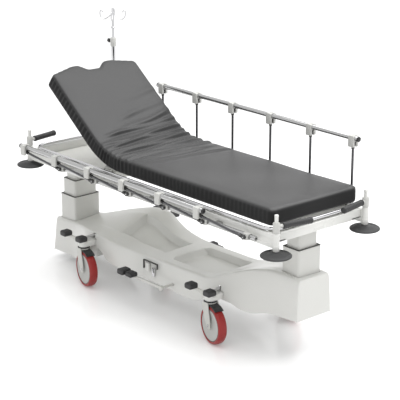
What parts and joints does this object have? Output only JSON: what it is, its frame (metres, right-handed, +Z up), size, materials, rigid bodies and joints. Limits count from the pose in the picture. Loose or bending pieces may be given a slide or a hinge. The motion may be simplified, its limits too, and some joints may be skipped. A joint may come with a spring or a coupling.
{
  "type": "stretcher trolley",
  "caption": "Hospital stretcher trolley: wheeled base with covered columns, height-adjusting litter, raised backrest, mattress, folding side rails, push handles, bumpers and drip pole",
  "frame": {"origin": "on the floor, midway between the four corner posts, which is the bottom centre of the bounding box", "axes": "+X towards the patient's feet along the trolley, +Y the patient's left side (the side with the drip pole), +Z up"},
  "size_m": [2.152, 0.772, 1.42],
  "materials": {
    "white_coat": "smooth powder coat",
    "cover_plastic": "moulded cover, soft gloss",
    "column_coat": "satin coat on extruded stages",
    "castor_coat": "coated pressed fork",
    "plated_steel": "bright plated",
    "rail_aluminium": "fine brushed, anodised",
    "deck_laminate": "rigid laminate panel",
    "black_plastic": "ribbed moulded pad",
    "grip_rubber": "ribbed grip",
    "bumper_rubber": "matt bumper",
    "red_tread": "non-marking tread on a grey hub",
    "red_knob": "gloss moulding",
    "mattress_cover": "coated welded cover",
    "dark_steel": "dark ground steel"
  },
  "bodies": {
    "base": {"chassis_frame": "white_coat", "base_cover": "cover_plastic", "foot_column_lower_stage": "column_coat", "foot_lift_cylinder": "dark_steel", "head_column_lower_stage": "column_coat", "head_lift_cylinder": "dark_steel"},
    "litter": {"litter_frame": "white_coat", "seat_deck": "deck_laminate", "head_panel": "deck_laminate", "mattress_seat": "mattress_cover", "foot_column_top_stage": "column_coat", "head_column_top_stage": "column_coat", "near_rail_lower_bar": "rail_aluminium", "far_rail_lower_bar": "rail_aluminium", "drip_pole_socket_tube": "plated_steel"},
    "backrest": {"backrest_frame": "white_coat", "mattress_back": "mattress_cover"},
    "drip_rod": {"drip_pole_rod": "plated_steel"},
    "foot_middle_stage": {"foot_column_middle_stage": "column_coat"},
    "foot_brake": {"foot_brake_shaft": "plated_steel", "foot_near_brake_pedal": "black_plastic", "foot_far_brake_pedal": "black_plastic"},
    "foot_near_swivel": {"foot_near_castor_fork": "castor_coat"},
    "foot_near_wheel": {"foot_near_castor_wheel": "red_tread"},
    "foot_near_bumper": {"foot_near_bumper_disc": "bumper_rubber"},
    "foot_near_handle": {"foot_near_push_handle": "grip_rubber"},
    "foot_far_swivel": {"foot_far_castor_fork": "castor_coat"},
    "foot_far_wheel": {"foot_far_castor_wheel": "red_tread"},
    "foot_far_bumper": {"foot_far_bumper_disc": "bumper_rubber"},
    "foot_far_handle": {"foot_far_push_handle": "grip_rubber"},
    "head_middle_stage": {"head_column_middle_stage": "column_coat"},
    "head_brake": {"head_brake_shaft": "plated_steel", "head_near_brake_pedal": "black_plastic", "head_far_brake_pedal": "black_plastic"},
    "head_near_swivel": {"head_near_castor_fork": "castor_coat"},
    "head_near_wheel": {"head_near_castor_wheel": "red_tread"},
    "head_near_bumper": {"head_near_bumper_disc": "bumper_rubber"},
    "head_near_handle": {"head_near_push_handle": "grip_rubber"},
    "head_far_swivel": {"head_far_castor_fork": "castor_coat"},
    "head_far_wheel": {"head_far_castor_wheel": "red_tread"},
    "head_far_bumper": {"head_far_bumper_disc": "bumper_rubber"},
    "head_far_handle": {"head_far_push_handle": "grip_rubber"},
    "near_pump": {"near_pump_pedal": "black_plastic"},
    "near_release": {"near_rail_release_knob": "red_knob"},
    "near_post_1": {"near_rail_post_1": "plated_steel"},
    "near_post_2": {"near_rail_post_2": "plated_steel"},
    "near_post_3": {"near_rail_post_3": "plated_steel"},
    "near_post_4": {"near_rail_post_4": "plated_steel"},
    "near_post_5": {"near_rail_post_5": "plated_steel"},
    "near_post_6": {"near_rail_post_6": "plated_steel"},
    "near_top_rail": {"near_rail_top": "rail_aluminium"},
    "far_pump": {"far_pump_pedal": "black_plastic"},
    "far_release": {"far_rail_release_knob": "red_knob"},
    "far_post_1": {"far_rail_post_1": "plated_steel"},
    "far_post_2": {"far_rail_post_2": "plated_steel"},
    "far_post_3": {"far_rail_post_3": "plated_steel"},
    "far_post_4": {"far_rail_post_4": "plated_steel"},
    "far_post_5": {"far_rail_post_5": "plated_steel"},
    "far_post_6": {"far_rail_post_6": "plated_steel"},
    "far_top_rail": {"far_rail_top": "rail_aluminium"}
  },
  "joints": [
    {"name": "litter_lift", "type": "slide", "parent": "base", "child": "litter", "axis": [0, 0, 1], "range_m": [-0.1, 0.16]},
    {"name": "backrest_hinge", "type": "hinge", "parent": "litter", "child": "backrest", "pos_m": [-0.36, 0, 0.712], "axis": [0, 1, 0], "range_deg": [-37, 33]},
    {"name": "drip_rod_slide", "type": "slide", "parent": "litter", "child": "drip_rod", "axis": [0, 0, 1], "range_m": [-0.05, 0.24]},
    {"name": "foot_middle_stage_slide", "type": "slide", "parent": "base", "child": "foot_middle_stage", "axis": [0, 0, 1], "range_m": [-0.05, 0.08]},
    {"name": "foot_brake_rock", "type": "hinge", "parent": "base", "child": "foot_brake", "pos_m": [0.495, 0, 0.27], "axis": [0, 1, 0], "range_deg": [-15, 15]},
    {"name": "foot_near_castor_swivel", "type": "hinge", "parent": "base", "child": "foot_near_swivel", "pos_m": [0.495, -0.2625, 0.2375], "axis": [0, 0, 1], "continuous": true},
    {"name": "foot_near_wheel_spin", "type": "hinge", "parent": "foot_near_swivel", "child": "foot_near_wheel", "pos_m": [0.52924, -0.26978, 0.1], "axis": [0.2079, 0.9781, 0], "continuous": true},
    {"name": "foot_near_bumper_spin", "type": "hinge", "parent": "litter", "child": "foot_near_bumper", "pos_m": [1, -0.301, 0.607], "axis": [0, 0, 1], "continuous": true},
    {"name": "foot_near_handle_swing", "type": "hinge", "parent": "litter", "child": "foot_near_handle", "pos_m": [1, -0.301, 0.74], "axis": [0, 0, -1], "range_deg": [0, 79.5]},
    {"name": "foot_far_castor_swivel", "type": "hinge", "parent": "base", "child": "foot_far_swivel", "pos_m": [0.495, 0.2625, 0.2375], "axis": [0, 0, 1], "continuous": true},
    {"name": "foot_far_wheel_spin", "type": "hinge", "parent": "foot_far_swivel", "child": "foot_far_wheel", "pos_m": [0.52924, 0.25522, 0.1], "axis": [0.2079, 0.9781, 0], "continuous": true},
    {"name": "foot_far_bumper_spin", "type": "hinge", "parent": "litter", "child": "foot_far_bumper", "pos_m": [1, 0.301, 0.607], "axis": [0, 0, 1], "continuous": true},
    {"name": "foot_far_handle_swing", "type": "hinge", "parent": "litter", "child": "foot_far_handle", "pos_m": [1, 0.301, 0.74], "axis": [0, 0, 1], "range_deg": [0, 79.5]},
    {"name": "head_middle_stage_slide", "type": "slide", "parent": "base", "child": "head_middle_stage", "axis": [0, 0, 1], "range_m": [-0.05, 0.08]},
    {"name": "head_brake_rock", "type": "hinge", "parent": "base", "child": "head_brake", "pos_m": [-0.565, 0, 0.27], "axis": [0, 1, 0], "range_deg": [-15, 15]},
    {"name": "head_near_castor_swivel", "type": "hinge", "parent": "base", "child": "head_near_swivel", "pos_m": [-0.565, -0.2625, 0.2375], "axis": [0, 0, 1], "continuous": true},
    {"name": "head_near_wheel_spin", "type": "hinge", "parent": "head_near_swivel", "child": "head_near_wheel", "pos_m": [-0.53077, -0.26978, 0.1], "axis": [0.2079, 0.9781, 0], "continuous": true},
    {"name": "head_near_bumper_spin", "type": "hinge", "parent": "litter", "child": "head_near_bumper", "pos_m": [-1, -0.301, 0.607], "axis": [0, 0, 1], "continuous": true},
    {"name": "head_near_handle_swing", "type": "hinge", "parent": "litter", "child": "head_near_handle", "pos_m": [-1, -0.301, 0.74], "axis": [0, 0, 1], "range_deg": [0, 79.5]},
    {"name": "head_far_castor_swivel", "type": "hinge", "parent": "base", "child": "head_far_swivel", "pos_m": [-0.565, 0.2625, 0.2375], "axis": [0, 0, 1], "continuous": true},
    {"name": "head_far_wheel_spin", "type": "hinge", "parent": "head_far_swivel", "child": "head_far_wheel", "pos_m": [-0.53077, 0.25522, 0.1], "axis": [0.2079, 0.9781, 0], "continuous": true},
    {"name": "head_far_bumper_spin", "type": "hinge", "parent": "litter", "child": "head_far_bumper", "pos_m": [-1, 0.301, 0.607], "axis": [0, 0, 1], "continuous": true},
    {"name": "head_far_handle_swing", "type": "hinge", "parent": "litter", "child": "head_far_handle", "pos_m": [-1, 0.301, 0.74], "axis": [0, 0, -1], "range_deg": [0, 79.5]},
    {"name": "near_pump_press", "type": "hinge", "parent": "base", "child": "near_pump", "pos_m": [0.14, -0.25, 0.186], "axis": [0, -1, 0], "range_deg": [0, 12], "stiffness_Nm_per_rad": 60, "springref_deg": -2.86},
    {"name": "near_release_pull", "type": "slide", "parent": "litter", "child": "near_release", "axis": [-1, 0, 0], "range_m": [0, 0.008], "stiffness_N_per_m": 400, "springref_m": -0.005},
    {"name": "near_rail_fold", "type": "hinge", "parent": "litter", "child": "near_post_1", "pos_m": [-0.63, -0.365, 0.668], "axis": [0, 1, 0], "range_deg": [0, 84.5]},
    {"name": "near_rail_post_2_fold", "type": "hinge", "parent": "litter", "child": "near_post_2", "pos_m": [-0.335, -0.365, 0.668], "axis": [0, 1, 0], "range_deg": [0, 84.5]},
    {"name": "near_rail_post_3_fold", "type": "hinge", "parent": "litter", "child": "near_post_3", "pos_m": [-0.04, -0.365, 0.668], "axis": [0, 1, 0], "range_deg": [0, 84.5]},
    {"name": "near_rail_post_4_fold", "type": "hinge", "parent": "litter", "child": "near_post_4", "pos_m": [0.255, -0.365, 0.668], "axis": [0, 1, 0], "range_deg": [0, 84.5]},
    {"name": "near_rail_post_5_fold", "type": "hinge", "parent": "litter", "child": "near_post_5", "pos_m": [0.55, -0.365, 0.668], "axis": [0, 1, 0], "range_deg": [0, 84.5]},
    {"name": "near_rail_post_6_fold", "type": "hinge", "parent": "litter", "child": "near_post_6", "pos_m": [0.845, -0.365, 0.668], "axis": [0, 1, 0], "range_deg": [0, 84.5]},
    {"name": "near_top_rail_level", "type": "hinge", "parent": "near_post_1", "child": "near_top_rail", "pos_m": [-0.9535, -0.365, 0.69915], "axis": [0, 1, 0], "range_deg": [-84.5, 0]},
    {"name": "far_pump_press", "type": "hinge", "parent": "base", "child": "far_pump", "pos_m": [0.14, 0.25, 0.186], "axis": [0, -1, 0], "range_deg": [0, 12], "stiffness_Nm_per_rad": 60, "springref_deg": -2.86},
    {"name": "far_release_pull", "type": "slide", "parent": "litter", "child": "far_release", "axis": [-1, 0, 0], "range_m": [0, 0.008], "stiffness_N_per_m": 400, "springref_m": -0.005},
    {"name": "far_rail_fold", "type": "hinge", "parent": "litter", "child": "far_post_1", "pos_m": [-0.63, 0.365, 0.668], "axis": [0, 1, 0], "range_deg": [-84.5, 0]},
    {"name": "far_rail_post_2_fold", "type": "hinge", "parent": "litter", "child": "far_post_2", "pos_m": [-0.335, 0.365, 0.668], "axis": [0, 1, 0], "range_deg": [-84.5, 0]},
    {"name": "far_rail_post_3_fold", "type": "hinge", "parent": "litter", "child": "far_post_3", "pos_m": [-0.04, 0.365, 0.668], "axis": [0, 1, 0], "range_deg": [-84.5, 0]},
    {"name": "far_rail_post_4_fold", "type": "hinge", "parent": "litter", "child": "far_post_4", "pos_m": [0.255, 0.365, 0.668], "axis": [0, 1, 0], "range_deg": [-84.5, 0]},
    {"name": "far_rail_post_5_fold", "type": "hinge", "parent": "litter", "child": "far_post_5", "pos_m": [0.55, 0.365, 0.668], "axis": [0, 1, 0], "range_deg": [-84.5, 0]},
    {"name": "far_rail_post_6_fold", "type": "hinge", "parent": "litter", "child": "far_post_6", "pos_m": [0.845, 0.365, 0.668], "axis": [0, 1, 0], "range_deg": [-84.5, 0]},
    {"name": "far_top_rail_level", "type": "hinge", "parent": "far_post_1", "child": "far_top_rail", "pos_m": [-0.63, 0.365, 0.993], "axis": [0, 1, 0], "range_deg": [0, 84.5]}
  ],
  "couplings": [
    {"joint": "foot_middle_stage_slide", "follows": "litter_lift", "ratio": 0.5},
    {"joint": "head_middle_stage_slide", "follows": "litter_lift", "ratio": 0.5},
    {"joint": "head_brake_rock", "follows": "foot_brake_rock", "ratio": 1},
    {"joint": "near_rail_post_2_fold", "follows": "near_rail_fold", "ratio": 1},
    {"joint": "near_rail_post_3_fold", "follows": "near_rail_fold", "ratio": 1},
    {"joint": "near_rail_post_4_fold", "follows": "near_rail_fold", "ratio": 1},
    {"joint": "near_rail_post_5_fold", "follows": "near_rail_fold", "ratio": 1},
    {"joint": "near_rail_post_6_fold", "follows": "near_rail_fold", "ratio": 1},
    {"joint": "near_top_rail_level", "follows": "near_rail_fold", "ratio": -1},
    {"joint": "far_rail_post_2_fold", "follows": "far_rail_fold", "ratio": 1},
    {"joint": "far_rail_post_3_fold", "follows": "far_rail_fold", "ratio": 1},
    {"joint": "far_rail_post_4_fold", "follows": "far_rail_fold", "ratio": 1},
    {"joint": "far_rail_post_5_fold", "follows": "far_rail_fold", "ratio": 1},
    {"joint": "far_rail_post_6_fold", "follows": "far_rail_fold", "ratio": 1},
    {"joint": "far_top_rail_level", "follows": "far_rail_fold", "ratio": -1}
  ]
}
